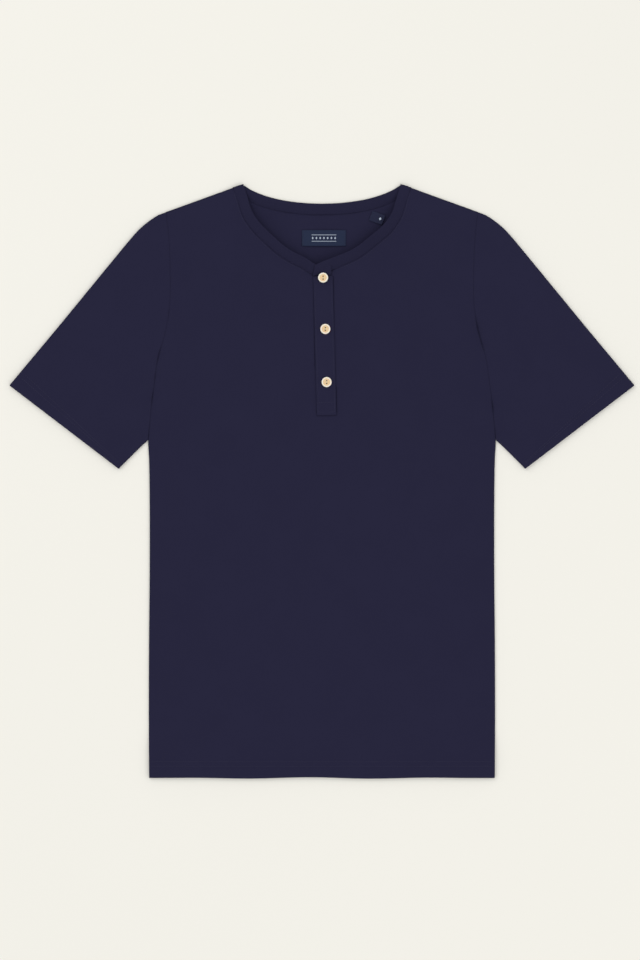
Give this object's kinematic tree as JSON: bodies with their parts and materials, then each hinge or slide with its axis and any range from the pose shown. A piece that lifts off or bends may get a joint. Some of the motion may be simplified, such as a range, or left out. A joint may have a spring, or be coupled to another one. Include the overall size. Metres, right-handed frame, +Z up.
{
  "type": "henley shirt",
  "caption": "Short-sleeved henley shirt in dark jersey, spread flat, with a rib neckband, a buttoned placket, hemmed sleeves and body",
  "frame": {"origin": "centre of the shirt's box as seen from above, on the surface it lies on", "axes": "+X across the shirt to the viewer's right (the wearer's left), +Y towards the neck, +Z up through the front"},
  "size_m": [0.7622, 0.7255, 0.0089],
  "materials": {
    "jersey": "matt single jersey",
    "rib": "matt fine rib",
    "placket_cloth": "matt jersey, folded double",
    "button": "cream, satin",
    "label": "woven, slight sheen"
  },
  "bodies": {
    "root": {"back": "jersey", "front": "jersey", "sleeve_left": "jersey", "sleeve_right": "jersey", "neckband": "rib", "placket_under": "placket_cloth", "placket_over": "placket_cloth", "button_1": "button", "button_2": "button", "button_3": "button", "neck_label": "label", "size_tag": "label"}
  },
  "joints": []
}
